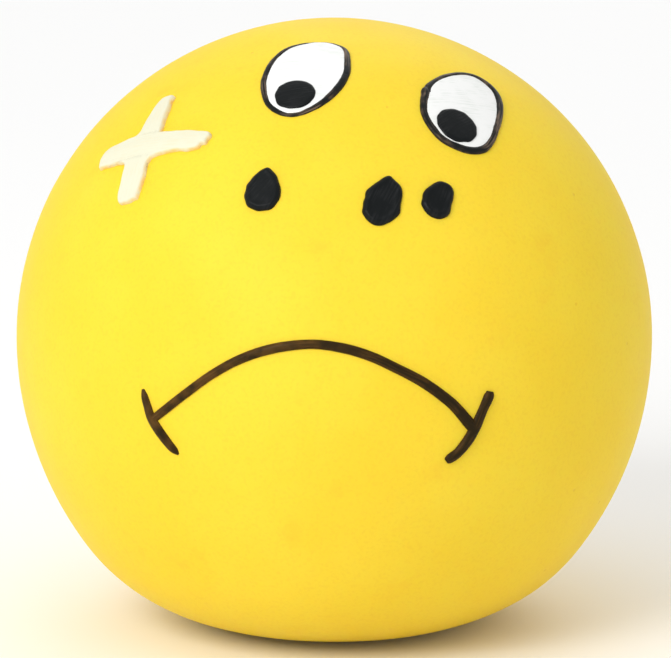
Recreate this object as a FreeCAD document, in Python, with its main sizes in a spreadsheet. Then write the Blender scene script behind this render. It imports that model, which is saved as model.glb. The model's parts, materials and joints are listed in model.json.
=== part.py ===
import FreeCAD, Part
import os
import Sketcher

# A squeezable stress ball: a thin moulded rubber skin with a flat foot, filled with two wads of
# soft fibre, closed under the foot by a rubber plug, with a raised and painted sad face.
# Millimetres, +Z up, the face looks towards -Y, and the origin is the centre of the foot.

DRIVING_SIZES = (
    ("ball_width", 63, "widest diameter of the skin, at its equator"),
    ("ball_height", 60.2, "top of the skin above the table"),
    ("foot_radius", 8.6, "radius of the flat of the foot"),
    ("shoulder_share", 0.876, "how nearly the underside is one round arc, 0 to 1"),
    ("foot_stand", 0.3, "how far the plug holds the skin off the table"),
    ("wall", 1.2, "thickness of the skin"),
    ("floor_height", 3.2, "height of the skin's inner floor above the table"),
    ("fill_gap", 0.2, "clearance of the fibre from the skin and the plug"),
    ("split_height", 31, "height of the parting between the two wads"),
    ("split_gap", 0.3, "clearance between the two wads"),
    ("plug_head_radius", 7, "radius of the plug's head, under the foot"),
    ("plug_head_thickness", 1.3, "thickness of the plug's head"),
    ("plug_head_gap", 0.1, "radial clearance of the head in its recess"),
    ("plug_neck_radius", 3.5, "radius of the plug's neck, a press fit in the floor"),
    ("plug_flange_radius", 5, "radius of the flange that holds the plug inside"),
    ("plug_flange_thickness", 1.2, "thickness of that flange"),
    ("plug_round", 0.4, "rounding of the plug's free edges"),
    ("vent_radius", 0.6, "radius of the air hole through the plug"),
    ("white_relief", 0.35, "height of the eye whites above the skin"),
    ("pupil_relief", 0.3, "height of the pupils above the whites"),
    ("ink_relief", 0.6, "height of the black lines and spots above the skin"),
    ("plaster_relief", 0.8, "height of the cross above the skin"),
    ("eye_line_width", 0.7, "width of the line around each eye"),
    ("left_eye_azimuth", -11.9, "degrees round from the front, positive towards +X"),
    ("left_eye_latitude", 65.8, "degrees above the equator"),
    ("left_eye_tilt", 84, "degrees from level to the long axis"),
    ("left_eye_long", 6, "half of the white's length"),
    ("left_eye_wide", 3.5, "half of the white's width"),
    ("right_eye_azimuth", 43, ""),
    ("right_eye_latitude", 54, ""),
    ("right_eye_tilt", 37.5, ""),
    ("right_eye_long", 5.85, ""),
    ("right_eye_wide", 3.55, ""),
    ("left_pupil_shift", 3.5, "how far down the eye's long axis the pupil stands"),
    ("left_pupil_long", 2.1, ""),
    ("left_pupil_wide", 2, ""),
    ("right_pupil_shift", 3.45, ""),
    ("right_pupil_long", 2.4, ""),
    ("right_pupil_wide", 2, ""),
    ("cheek_spot_azimuth", -15.7, ""),
    ("cheek_spot_latitude", 37.5, ""),
    ("cheek_spot_tilt", 94, ""),
    ("cheek_spot_long", 2.3, ""),
    ("cheek_spot_wide", 1.75, ""),
    ("nose_spot_left_azimuth", 10.4, ""),
    ("nose_spot_left_latitude", 35.7, ""),
    ("nose_spot_left_tilt", 63, ""),
    ("nose_spot_left_long", 2.65, ""),
    ("nose_spot_left_wide", 1.8, ""),
    ("nose_spot_right_azimuth", 22.6, ""),
    ("nose_spot_right_latitude", 35.2, ""),
    ("nose_spot_right_tilt", 46, ""),
    ("nose_spot_right_long", 2.15, ""),
    ("nose_spot_right_wide", 1.45, ""),
    ("mouth_azimuth", -4.1, "where the axis of the mouth's circle leaves the ball"),
    ("mouth_latitude", -22.6, ""),
    ("mouth_tilt", 29.5, "degrees from level to the start of the arc"),
    ("mouth_ring", 17, "radius of the mouth's circle"),
    ("mouth_sweep", 121, "degrees of arc"),
    ("mouth_width", 0.9, "width of the line"),
    ("left_corner_bearing", -113, "degrees from the mouth's way out to the middle of the stroke's circle"),
    ("left_corner_ring", 9.4, "radius of the stroke's circle, which passes through the mouth's end"),
    ("left_corner_start", 160, "degrees round that circle, where 180 is the mouth's end"),
    ("left_corner_sweep", 42, ""),
    ("left_corner_width", 0.8, ""),
    ("right_corner_bearing", 113, ""),
    ("right_corner_ring", 10.2, ""),
    ("right_corner_start", 158, ""),
    ("right_corner_sweep", 42, ""),
    ("right_corner_width", 0.9, ""),
    ("cross_azimuth", -51.9, ""),
    ("cross_latitude", 43.1, ""),
    ("cross_tilt", 21, ""),
    ("cross_length", 13, "length of each strip of the cross"),
    ("cross_width", 2.9, "width of each strip of the cross"),
)

# The underside is a side arc that leaves the equator upright, then a shoulder arc that meets the
# foot level. The smaller of the two is a share of the smaller reach, and the other follows from it.
DERIVED_SIZES = (
    ("equator_radius", "=ball_width / 2"),
    ("equator_height", "=ball_height - equator_radius"),
    ("lower_depth", "=equator_height - foot_stand"),
    ("foot_reach", "=equator_radius - foot_radius"),
    ("short_reach", "=min(lower_depth; foot_reach)"),
    ("long_reach", "=max(lower_depth; foot_reach)"),
    ("small_arc", "=shoulder_share * short_reach"),
    ("large_arc", "=(short_reach ^ 2 + long_reach ^ 2 - 2 * long_reach * small_arc)"
                  " / (2 * (short_reach - small_arc))"),
    ("side_radius", "=lower_depth >= foot_reach ? large_arc : small_arc"),
    ("shoulder_radius", "=lower_depth >= foot_reach ? small_arc : large_arc"),
    ("outer_grow", "=0"),
    ("cavity_grow", "=-wall"),
    ("fill_grow", "=-wall - fill_gap"),
    ("white_grow", "=white_relief"),
    ("pupil_grow", "=white_relief + pupil_relief"),
    ("ink_grow", "=ink_relief"),
    ("plaster_grow", "=plaster_relief"),
)

doc = FreeCAD.newDocument("StressBall")
sheet = doc.addObject("Spreadsheet::Sheet", "Sizes")


def fill_sheet():
    """Write the sizes to the sheet: what each is, its value, and its alias."""
    row = 1
    for alias, value, meaning in DRIVING_SIZES:
        sheet.set(f"A{row}", alias)
        sheet.set(f"B{row}", str(value))
        sheet.set(f"C{row}", meaning)
        sheet.setAlias(f"B{row}", alias)
        row += 1
    for alias, formula in DERIVED_SIZES:
        sheet.set(f"A{row}", alias)
        sheet.set(f"B{row}", formula)
        sheet.setAlias(f"B{row}", alias)
        row += 1
    doc.recompute()


def bind(obj, **sizes):
    """Bind each property of an object to an expression of the sheet's aliases."""
    for prop, expression in sizes.items():
        obj.setExpression(prop, expression)


def sketch_on(body, role, name):
    """A sketch on one of the body's own origin planes."""
    sketch = body.newObject("Sketcher::SketchObject", name)
    plane = next(item for item in body.Origin.OriginFeatures if item.Role == role)
    sketch.AttachmentSupport = [(plane, "")]
    sketch.MapMode = "FlatFace"
    return sketch


def dimension(sketch, name, expression, *constraint):
    """Add a dimension to a sketch and bind it to an expression."""
    sketch.addConstraint(Sketcher.Constraint(*constraint))
    sketch.renameConstraint(sketch.ConstraintCount - 1, name)
    sketch.setExpression("Constraints." + name, expression)


def revolve(body, sketch):
    """Turn a sketch once round its vertical axis."""
    turn = body.newObject("PartDesign::Revolution", body.Name + "Turn")
    turn.Profile = sketch
    turn.ReferenceAxis = (sketch, ["V_Axis"])
    turn.Angle = 360
    return turn


# ---- the ball's form, which the skin, the fibre and the face all take their faces from ----

def arc_from(centre, radius, start, end):
    """An arc through two points about a centre, counter-clockwise."""
    circle = Part.Circle(centre, FreeCAD.Vector(0, 0, 1), radius)
    return Part.ArcOfCircle(circle, circle.parameter(start), circle.parameter(end))


def ball_form(name, grow):
    """The ball's solid of revolution, its surface moved out by the size called grow."""
    body = doc.addObject("PartDesign::Body", name)
    sketch = sketch_on(body, "XZ_Plane", name + "Profile")
    out = sheet.get(grow)
    equator = sheet.get("equator_radius")
    mid = sheet.get("equator_height")
    side = sheet.get("side_radius")
    shoulder = sheet.get("shoulder_radius")
    foot = sheet.get("foot_stand")
    top_centre = FreeCAD.Vector(0, mid, 0)
    side_centre = FreeCAD.Vector(equator - side, mid, 0)
    shoulder_centre = FreeCAD.Vector(sheet.get("foot_radius"), foot + shoulder, 0)
    crown = FreeCAD.Vector(0, mid + equator + out, 0)
    widest = FreeCAD.Vector(equator + out, mid, 0)
    joint = side_centre + (shoulder_centre - side_centre) * ((side + out) / (side - shoulder))
    rim = FreeCAD.Vector(shoulder_centre.x, foot - out, 0)
    base = FreeCAD.Vector(0, foot - out, 0)
    sketch.addGeometry([
        arc_from(top_centre, equator + out, widest, crown),
        arc_from(side_centre, side + out, joint, widest),
        arc_from(shoulder_centre, shoulder + out, rim, joint),
        Part.LineSegment(rim, base),
        Part.LineSegment(base, crown),
    ], False)
    start, end, centre, origin, upright = 1, 2, 3, -1, -2
    for rule in (
        ("Coincident", 0, start, 1, end),
        ("Tangent", 1, start, 2, end),
        ("Coincident", 2, start, 3, start),
        ("Coincident", 3, end, 4, start),
        ("Coincident", 4, end, 0, end),
        ("PointOnObject", 0, centre, upright),
        ("PointOnObject", 0, end, upright),
        ("Horizontal", 0, centre, 0, start),
        ("Horizontal", 0, centre, 1, centre),
        ("Vertical", 2, centre, 2, start),
        ("Horizontal", 3),
        ("Vertical", 4),
    ):
        sketch.addConstraint(Sketcher.Constraint(*rule))
    dimension(sketch, "mid", "Sizes.equator_height", "DistanceY", origin, 1, 0, centre, mid)
    dimension(sketch, "top", f"Sizes.equator_radius + Sizes.{grow}", "Radius", 0, equator + out)
    dimension(sketch, "side", f"Sizes.side_radius + Sizes.{grow}", "Radius", 1, side + out)
    dimension(sketch, "foot", "Sizes.foot_radius", "DistanceX", origin, 1, 2, centre, rim.x)
    dimension(sketch, "shoulder", "Sizes.foot_stand + Sizes.shoulder_radius",
              "DistanceY", origin, 1, 2, centre, shoulder_centre.y)
    revolve(body, sketch)
    return body


def cylinder(name, radius, low, high):
    """An upright cylinder on the ball's axis between two heights, all of them expressions."""
    post = doc.addObject("Part::Cylinder", name)
    bind(post, Radius=radius, Height=f"({high}) - ({low})")
    post.setExpression("Placement.Base.z", low)
    return post


def cut(name, base, tool):
    """Base without tool."""
    result = doc.addObject("Part::Cut", name)
    result.Base = base
    result.Tool = tool
    return result


def common(name, base, tool):
    """What base and tool share."""
    result = doc.addObject("Part::Common", name)
    result.Base = base
    result.Tool = tool
    return result


# ---- the plug, turned from one half section ----

def make_plug():
    """The rubber plug: a head under the foot, a neck in the floor, a flange inside, and a vent."""
    body = doc.addObject("PartDesign::Body", "filling_plug")
    sketch = sketch_on(body, "XZ_Plane", "PlugProfile")
    vent = sheet.get("vent_radius")
    head = sheet.get("plug_head_radius")
    neck = sheet.get("plug_neck_radius")
    flange = sheet.get("plug_flange_radius")
    head_top = sheet.get("plug_head_thickness")
    floor = sheet.get("floor_height")
    top = floor + sheet.get("plug_flange_thickness")
    corners = [(vent, 0), (head, 0), (head, head_top), (neck, head_top), (neck, floor),
               (flange, floor), (flange, top), (vent, top)]
    points = [FreeCAD.Vector(x, y, 0) for x, y in corners]
    count = len(points)
    for index in range(count):
        sketch.addGeometry(Part.LineSegment(points[index], points[(index + 1) % count]), False)
    for index in range(count):
        sketch.addConstraint(Sketcher.Constraint("Coincident", index, 2, (index + 1) % count, 1))
        direction = "Vertical" if index % 2 else "Horizontal"
        sketch.addConstraint(Sketcher.Constraint(direction, index))
    sketch.addConstraint(Sketcher.Constraint("PointOnObject", 0, 1, -1))
    reaches = (("vent", 7, vent), ("plug_head", 1, head), ("plug_neck", 3, neck), ("plug_flange", 5, flange))
    for name, line, radius in reaches:
        dimension(sketch, name, f"Sizes.{name}_radius", "DistanceX", -1, 1, line, 1, radius)
    heights = (("head_top", 2, "Sizes.plug_head_thickness", head_top),
               ("floor", 4, "Sizes.floor_height", floor),
               ("flange_top", 6, "Sizes.floor_height + Sizes.plug_flange_thickness", top))
    for name, line, expression, height in heights:
        dimension(sketch, name, expression, "DistanceY", -1, 1, line, 1, height)
    turn = revolve(body, sketch)
    doc.recompute()
    edges = enumerate(turn.Shape.Edges, start=1)
    rims = [f"Edge{number}" for number, edge in edges if is_free_rim(edge, head, flange, top)]
    round_off = body.newObject("PartDesign::Fillet", "PlugRounding")
    round_off.Base = (turn, rims)
    bind(round_off, Radius="Sizes.plug_round")
    return body


def is_free_rim(edge, head, flange, top):
    """True for the round edges under the head and on top of the flange."""
    if not isinstance(edge.Curve, Part.Circle):
        return False
    centre = edge.Curve.Center
    under_head = abs(edge.Curve.Radius - head) < 0.01 and abs(centre.z) < 0.01
    on_flange = abs(edge.Curve.Radius - flange) < 0.01 and abs(centre.z - top) < 0.01
    return under_head or on_flange


# ---- the skin and its filling ----

def make_skin(outer):
    """The moulded skin: an even wall, a thick flat floor, and the plug's seat through the floor."""
    above_floor = cylinder("AboveFloor", "Sizes.ball_width", "Sizes.floor_height", "2 * Sizes.ball_height")
    cavity = common("Cavity", ball_form("CavityForm", "cavity_grow"), above_floor)
    recess = cylinder("PlugRecess", "Sizes.plug_head_radius + Sizes.plug_head_gap",
                      "-Sizes.foot_stand", "Sizes.plug_head_thickness")
    neck_hole = cylinder("NeckHole", "Sizes.plug_neck_radius", "0", "Sizes.floor_height + Sizes.wall")
    shell = cut("HollowShell", outer, cavity)
    recessed = cut("RecessedShell", shell, recess)
    return cut("skin", recessed, neck_hole)


def make_fibre():
    """The filling, parted level into a lower wad round the plug and an upper wad."""
    fill = ball_form("FillForm", "fill_grow")
    low_slab = cylinder("LowerSlab", "Sizes.ball_width", "Sizes.floor_height + Sizes.fill_gap",
                        "Sizes.split_height - Sizes.split_gap / 2")
    high_slab = cylinder("UpperSlab", "Sizes.ball_width", "Sizes.split_height + Sizes.split_gap / 2",
                         "2 * Sizes.ball_height")
    plug_room = cylinder("PlugRoom", "Sizes.plug_flange_radius + Sizes.fill_gap", "0",
                         "Sizes.floor_height + Sizes.plug_flange_thickness + Sizes.fill_gap")
    lower = cut("lower_fibre_wad", common("LowerFill", fill, low_slab), plug_room)
    upper = common("upper_fibre_wad", fill, high_slab)
    return [lower, upper]


# ---- the face: each piece is a block that points out of the ball's middle, kept where it passes
# ---- through a thin shell on the skin's outer face

def heading(place):
    """The turn from upright to a place on the face, given by its azimuth and latitude."""
    return f"rotation(Sizes.{place}_azimuth; 0; 90 - Sizes.{place}_latitude)"


def spin(angle):
    """A turn about the way out of the ball."""
    return f"rotation({angle}; 0; 0)"


def stray(bearing, distance):
    """A turn to a point some distance away over the ball, at a bearing from the way across."""
    return f"rotation({bearing}; asin({distance} / Sizes.equator_radius); 0)"


def aim(block, *turns):
    """Stand a block on the ball's middle and turn it by each turn in order."""
    middle = "vector(0; 0; Sizes.equator_height)"
    block.setExpression("Placement", f"placement({middle}; {' * '.join(turns)})")
    return block


def oval_block(name, oval_name, turns, border="0"):
    """A block with an oval outline, grown by the border."""
    oval = doc.addObject("Part::Ellipse", name + "Oval")
    bind(oval, MajorRadius=f"Sizes.{oval_name}_long + {border}",
         MinorRadius=f"Sizes.{oval_name}_wide + {border}")
    block = doc.addObject("Part::Extrusion", name)
    block.Base = oval
    block.DirMode = "Normal"
    block.Solid = True
    bind(block, LengthFwd="Sizes.ball_width")
    return aim(block, *turns)


def arc_block(name, arc_name, turns):
    """A block whose outline is a length of a ring, as wide as the painted line."""
    rings = []
    for side, sign in (("Outer", "+"), ("Inner", "-")):
        ring = doc.addObject("Part::Cylinder", name + side)
        radius = f"Sizes.{arc_name}_ring {sign} Sizes.{arc_name}_width / 2"
        bind(ring, Radius=radius, Height="Sizes.ball_width", Angle=f"Sizes.{arc_name}_sweep")
        rings.append(aim(ring, *turns))
    return cut(name, rings[0], rings[1])


def cross_block():
    """A block whose outline is two strips crossed square."""
    body = doc.addObject("PartDesign::Body", "CrossBlock")
    sketch = sketch_on(body, "XY_Plane", "CrossStrip")
    half_length = sheet.get("cross_length") / 2
    half_width = sheet.get("cross_width") / 2
    corners = [FreeCAD.Vector(x * half_length, y * half_width, 0)
               for x, y in ((-1, -1), (1, -1), (1, 1), (-1, 1))]
    for index in range(4):
        sketch.addGeometry(Part.LineSegment(corners[index], corners[(index + 1) % 4]), False)
    for index in range(4):
        sketch.addConstraint(Sketcher.Constraint("Coincident", index, 2, (index + 1) % 4, 1))
        direction = "Vertical" if index % 2 else "Horizontal"
        sketch.addConstraint(Sketcher.Constraint(direction, index))
    sketch.addConstraint(Sketcher.Constraint("Symmetric", 0, 1, 2, 1, -1, 1))
    dimension(sketch, "length", "Sizes.cross_length", "DistanceX", 0, 1, 0, 2, 2 * half_length)
    dimension(sketch, "width", "Sizes.cross_width", "DistanceY", 1, 1, 1, 2, 2 * half_width)
    strip = body.newObject("PartDesign::Pad", "CrossStripPad")
    strip.Profile = sketch
    bind(strip, Length="Sizes.ball_width")
    pattern = body.newObject("PartDesign::PolarPattern", "CrossPattern")
    pattern.Originals = [strip]
    pattern.Axis = (sketch, ["N_Axis"])
    pattern.Angle = 90
    pattern.Occurrences = 2
    body.Tip = pattern
    return aim(body, heading("cross"), spin("Sizes.cross_tilt"))


def make_eye(side, white_shell, ink_shell, pupil_shell):
    """One eye: a white, the line round it, and a pupil on the white that keeps inside the line."""
    eye = (heading(f"{side}_eye"), spin(f"Sizes.{side}_eye_tilt"))
    down = stray(180, f"Sizes.{side}_pupil_shift")
    white_block = oval_block(f"{side}WhiteBlock", f"{side}_eye", eye)
    line_block = oval_block(f"{side}LineBlock", f"{side}_eye", eye, "Sizes.eye_line_width")
    pupil_block = oval_block(f"{side}PupilBlock", f"{side}_pupil", (*eye, down))
    line_ring = cut(f"{side}LineRing", line_block, white_block)
    pupil_in_white = common(f"{side}PupilInWhite", pupil_block, white_block)
    return [
        common(f"{side}_eye_white", white_block, white_shell),
        common(f"{side}_eye_outline", line_ring, ink_shell),
        common(f"{side}_pupil", pupil_in_white, pupil_shell),
    ]


def corner_block(name, corner, circle, end):
    """The block of a short stroke whose circle passes through an end of the mouth's circle."""
    to_end = stray(end, "Sizes.mouth_ring")
    to_middle = stray(f"Sizes.{corner}_bearing", f"Sizes.{corner}_ring")
    return arc_block(name, corner, (circle, to_end, to_middle, spin(f"Sizes.{corner}_start")))


def make_mouth(ink_shell):
    """The mouth's long line, and the two short strokes that cross it just where it ends."""
    circle = heading("mouth")
    right_end = "Sizes.mouth_tilt"
    left_end = "Sizes.mouth_tilt + Sizes.mouth_sweep"
    mouth_block = arc_block("MouthBlock", "mouth", (circle, spin(right_end)))
    left_block = corner_block("LeftCornerBlock", "left_corner", circle, left_end)
    right_block = corner_block("RightCornerBlock", "right_corner", circle, right_end)
    between = cut("MouthBetween", cut("MouthRightOfLeft", mouth_block, left_block), right_block)
    return [
        common("mouth_line", between, ink_shell),
        common("mouth_corner_left", left_block, ink_shell),
        common("mouth_corner_right", right_block, ink_shell),
    ]


def make_face(outer):
    """Every raised and painted piece of the face."""
    white_form = ball_form("WhiteForm", "white_grow")
    white_shell = cut("WhiteShell", white_form, outer)
    ink_shell = cut("InkShell", ball_form("InkForm", "ink_grow"), outer)
    pupil_shell = cut("PupilShell", ball_form("PupilForm", "pupil_grow"), white_form)
    plaster_shell = cut("PlasterShell", ball_form("PlasterForm", "plaster_grow"), outer)
    pieces = []
    for side in ("left", "right"):
        pieces += make_eye(side, white_shell, ink_shell, pupil_shell)
    for spot in ("cheek_spot", "nose_spot_left", "nose_spot_right"):
        turns = (heading(spot), spin(f"Sizes.{spot}_tilt"))
        pieces.append(common(spot, oval_block(spot + "_block", spot, turns), ink_shell))
    pieces += make_mouth(ink_shell)
    pieces.append(common("cross_plaster", cross_block(), plaster_shell))
    return pieces


# ---- check every object and write each piece ----

def check_document():
    """Stop if any object of the document failed to build."""
    for item in doc.Objects:
        if "Invalid" in item.State or "Error" in item.State:
            raise RuntimeError(f"{item.Name} failed: {item.State}")


def write_pieces(pieces):
    """Check each piece is one valid closed solid, and write it under its own name."""
    os.makedirs("parts", exist_ok=True)
    for piece in pieces:
        shape = piece.Shape
        if shape.isNull() or not shape.isValid() or len(shape.Solids) != 1:
            raise RuntimeError(f"{piece.Label} is not one valid solid")
        shape.exportStep(f"parts/{piece.Label}.step")
        box = shape.BoundBox
        print(f"{piece.Label:20s} {shape.Volume:9.1f} mm3  z {box.ZMin:6.2f} to {box.ZMax:6.2f}")


fill_sheet()
outer_form = ball_form("OuterForm", "outer_grow")
sub_parts = [make_skin(outer_form), make_plug()] + make_fibre() + make_face(outer_form)
doc.recompute()
check_document()
write_pieces(sub_parts)
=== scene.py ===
import json
import math

import bpy
import numpy as np
from bpy.props import FloatProperty, FloatVectorProperty, IntProperty, PointerProperty
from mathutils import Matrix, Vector, noise


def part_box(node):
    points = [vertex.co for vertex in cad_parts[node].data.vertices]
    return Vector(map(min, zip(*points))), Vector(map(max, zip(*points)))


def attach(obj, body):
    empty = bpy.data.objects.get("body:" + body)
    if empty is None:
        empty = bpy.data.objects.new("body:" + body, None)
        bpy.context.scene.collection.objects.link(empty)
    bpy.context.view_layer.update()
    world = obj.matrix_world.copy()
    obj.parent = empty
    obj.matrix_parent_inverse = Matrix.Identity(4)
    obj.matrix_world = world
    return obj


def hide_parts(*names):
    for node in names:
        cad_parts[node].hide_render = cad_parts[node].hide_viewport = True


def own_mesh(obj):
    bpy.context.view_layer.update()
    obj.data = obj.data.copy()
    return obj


bl_info = {
    "name": "Sad Face Stress Ball",
    "version": (1, 0, 0),
    "blender": (4, 5, 0),
    "location": "View3D > Sidebar > Stress Ball",
    "description": "Builds the looks of a squeezable rubber ball with a brushed, raised face",
    "category": "Add Mesh",
}

# Everything is in metres, in the frame's own axes: +Z up, the face looks towards -Y.
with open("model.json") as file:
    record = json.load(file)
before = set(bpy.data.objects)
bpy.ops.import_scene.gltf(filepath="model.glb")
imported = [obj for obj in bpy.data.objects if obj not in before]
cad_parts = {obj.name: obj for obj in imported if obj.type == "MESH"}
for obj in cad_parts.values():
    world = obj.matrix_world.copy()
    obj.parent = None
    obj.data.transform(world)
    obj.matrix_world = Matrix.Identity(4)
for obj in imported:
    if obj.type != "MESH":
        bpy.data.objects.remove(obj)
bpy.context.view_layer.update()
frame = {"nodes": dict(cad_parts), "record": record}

MM = 0.001
SHARP_EDGE = math.radians(50)
TINY = 1e-18

# ---- the ball's form, read from the frame ----

SKIN_LOW, SKIN_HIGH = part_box("skin")
EQUATOR = max(-SKIN_LOW.x, SKIN_HIGH.x, -SKIN_LOW.y, SKIN_HIGH.y)
MIDDLE = Vector((0, 0, SKIN_HIGH.z - EQUATOR))
FOOT_HEIGHT = SKIN_LOW.z
# The shoulder's radius as a share of the room it has, and the gap round the filling.
SHOULDER_SHARE = 0.876
FILL_GAP = 0.2 * MM
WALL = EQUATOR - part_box("lower_fibre_wad")[1].x - FILL_GAP
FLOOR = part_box("lower_fibre_wad")[0].z - FILL_GAP
PLUG_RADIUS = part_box("filling_plug")[1].x
PLUG_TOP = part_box("filling_plug")[1].z
# The radii of the plug's neck, flange and vent, its head's thickness, and its play in the skin.
PLUG_NECK = 3.5 * MM
PLUG_FLANGE = 5 * MM
PLUG_VENT = 0.6 * MM
PLUG_HEAD = 1.3 * MM
PLUG_CLEARANCE = 0.1 * MM


def read_foot_radius():
    """The radius of the flat of the foot: the widest of the skin's lowest points."""
    level = FOOT_HEIGHT + 0.01 * MM
    lowest = [v.co for v in frame["nodes"]["skin"].data.vertices if v.co.z < level]
    return max(math.hypot(co.x, co.y) for co in lowest)


FOOT_RADIUS = read_foot_radius()


def underside_radii():
    """The radii of the side arc and the shoulder arc, which meet the equator upright and the foot level."""
    depth = MIDDLE.z - FOOT_HEIGHT
    reach = EQUATOR - FOOT_RADIUS
    short, long = min(depth, reach), max(depth, reach)
    small = SHOULDER_SHARE * short
    large = (short ** 2 + long ** 2 - 2 * long * small) / (2 * (short - small))
    return (large, small) if depth >= reach else (small, large)


SIDE, SHOULDER = underside_radii()


def arc(centre, radius, start, end, steps):
    """Points on an arc in a half section, angles in degrees from level."""
    turns = [math.radians(start + (end - start) * i / steps) for i in range(steps + 1)]
    return [(centre[0] + radius * math.cos(t), centre[1] + radius * math.sin(t)) for t in turns]


def half_section(grow, steps=48):
    """The ball's outline from the crown down to the rim of the foot, moved out by grow."""
    side_centre = (EQUATOR - SIDE, MIDDLE.z)
    shoulder_centre = (FOOT_RADIUS, FOOT_HEIGHT + SHOULDER)
    across = shoulder_centre[0] - side_centre[0]
    down = shoulder_centre[1] - side_centre[1]
    if SIDE < SHOULDER:
        across, down = -across, -down
    meet = math.degrees(math.atan2(down, across))
    top = arc((0, MIDDLE.z), EQUATOR + grow, 90, 0, steps)
    side = arc(side_centre, SIDE + grow, 0, meet, steps // 2)
    shoulder = arc(shoulder_centre, SHOULDER + grow, meet, -90, steps // 2)
    return top + side[1:] + shoulder[1:]


def on_skin(ways):
    """Where directions out of the ball's middle leave the skin, and the skin's normals there."""
    level = np.hypot(ways[:, 0], ways[:, 1])
    rise = ways[:, 2]
    offset = np.where(rise < 0, EQUATOR - SIDE, 0)
    radius = np.where(rise < 0, SIDE, EQUATOR)
    reach = level * offset + np.sqrt((level * offset) ** 2 - offset ** 2 + radius ** 2)
    points = np.array(MIDDLE) + ways * reach[:, None]
    outward = (level * reach - offset) / radius
    heading = ways[:, :2] / np.maximum(level, 1e-9)[:, None]
    normals = np.column_stack([heading * outward[:, None], rise * reach / radius])
    return points, normals


def face_axes(node):
    """The way out of the ball at the middle of a CAD node, and the ways right and up across the skin."""
    low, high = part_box(node)
    out = ((low + high) / 2 - MIDDLE).normalized()
    right = Vector((0, 0, 1)).cross(out).normalized()
    return out, right, out.cross(right)


def onto_skin(flat, node):
    """Lay flat drawing points, in metres, on the skin around a CAD node."""
    out, right, up = (np.array(axis) for axis in face_axes(node))
    across, along = flat[:, :1], flat[:, 1:2]
    ways = right * across + up * along + out * np.sqrt(EQUATOR ** 2 - across ** 2 - along ** 2)
    return on_skin(ways / np.linalg.norm(ways, axis=1)[:, None])


# ---- nodes ----

def put(tree, kind, inputs=None, **settings):
    """Add a node, set its settings, and fill or link its inputs."""
    node = tree.nodes.new(kind)
    for name, value in settings.items():
        setattr(node, name, value)
    for key, value in (inputs or {}).items():
        if isinstance(value, bpy.types.NodeSocket):
            tree.links.new(value, node.inputs[key])
        else:
            node.inputs[key].default_value = value
    return node


def maths(tree, operation, *values):
    """One Math node's result."""
    return put(tree, "ShaderNodeMath", dict(enumerate(values)), operation=operation).outputs[0]


def vector_maths(tree, operation, *values):
    """One Vector Math node's vector."""
    return put(tree, "ShaderNodeVectorMath", dict(enumerate(values)), operation=operation).outputs[0]


def scaled(tree, vector, factor):
    """A vector times a number."""
    inputs = {"Vector": vector, "Scale": factor}
    return put(tree, "ShaderNodeVectorMath", inputs, operation="SCALE").outputs[0]


def stored(tree, geometry, name, value, kind="FLOAT"):
    """A geometry with a value kept on its points under a name."""
    inputs = {"Geometry": geometry, "Name": name, "Value": value}
    return put(tree, "GeometryNodeStoreNamedAttribute", inputs, data_type=kind, domain="POINT").outputs[0]


def named(tree, name):
    """The number kept on a geometry's points under a name."""
    return put(tree, "GeometryNodeInputNamedAttribute", {"Name": name}, data_type="FLOAT").outputs[0]


def new_geometry_tree(name, sockets):
    """A geometry tree with named inputs, as (tree, group input, group output)."""
    tree = bpy.data.node_groups.new(name, "GeometryNodeTree")
    tree.interface.new_socket("Geometry", in_out="INPUT", socket_type="NodeSocketGeometry")
    for label, kind in sockets.items():
        tree.interface.new_socket(label, in_out="INPUT", socket_type="NodeSocket" + kind)
    tree.interface.new_socket("Geometry", in_out="OUTPUT", socket_type="NodeSocketGeometry")
    return tree, tree.nodes.new("NodeGroupInput"), tree.nodes.new("NodeGroupOutput")


def finish_tree(tree, given, out, geometry):
    """End a geometry tree: realize what it instances and give it its material."""
    real = put(tree, "GeometryNodeRealizeInstances", {"Geometry": geometry})
    dressed = put(tree, "GeometryNodeSetMaterial", {
        "Geometry": real.outputs[0], "Material": given.outputs["Material"]})
    tree.links.new(dressed.outputs[0], out.inputs["Geometry"])
    return tree


def grown(name, source, tree, values):
    """Run a geometry tree on a source object and keep its result as a plain mesh."""
    modifier = source.modifiers.new(tree.name, "NODES")
    modifier.node_group = tree
    for socket in tree.interface.items_tree:
        if socket.in_out == "INPUT" and socket.name in values:
            modifier[socket.identifier] = values[socket.name]
    depsgraph = bpy.context.evaluated_depsgraph_get()
    mesh = bpy.data.meshes.new_from_object(source.evaluated_get(depsgraph), depsgraph=depsgraph)
    mesh.name = name
    mesh.materials.clear()
    mesh.materials.append(values["Material"])
    source.modifiers.remove(modifier)
    bpy.data.objects.remove(source)
    return show(name, mesh)


def show(name, mesh):
    """Put a mesh in the scene as an object at the origin, smooth but for its sharp corners."""
    mesh.shade_smooth()
    mesh.set_sharp_from_angle(angle=SHARP_EDGE)
    piece = bpy.data.objects.new(name, mesh)
    bpy.context.scene.collection.objects.link(piece)
    return piece


def points_object(name, points, **attributes):
    """A mesh of bare points, with a number on each for every attribute."""
    mesh = bpy.data.meshes.new(name)
    mesh.from_pydata([tuple(p) for p in points], [], [])
    for label, numbers in attributes.items():
        mesh.attributes.new(label, "FLOAT", "POINT").data.foreach_set("value", numbers)
    source = bpy.data.objects.new(name, mesh)
    bpy.context.scene.collection.objects.link(source)
    return source


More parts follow.
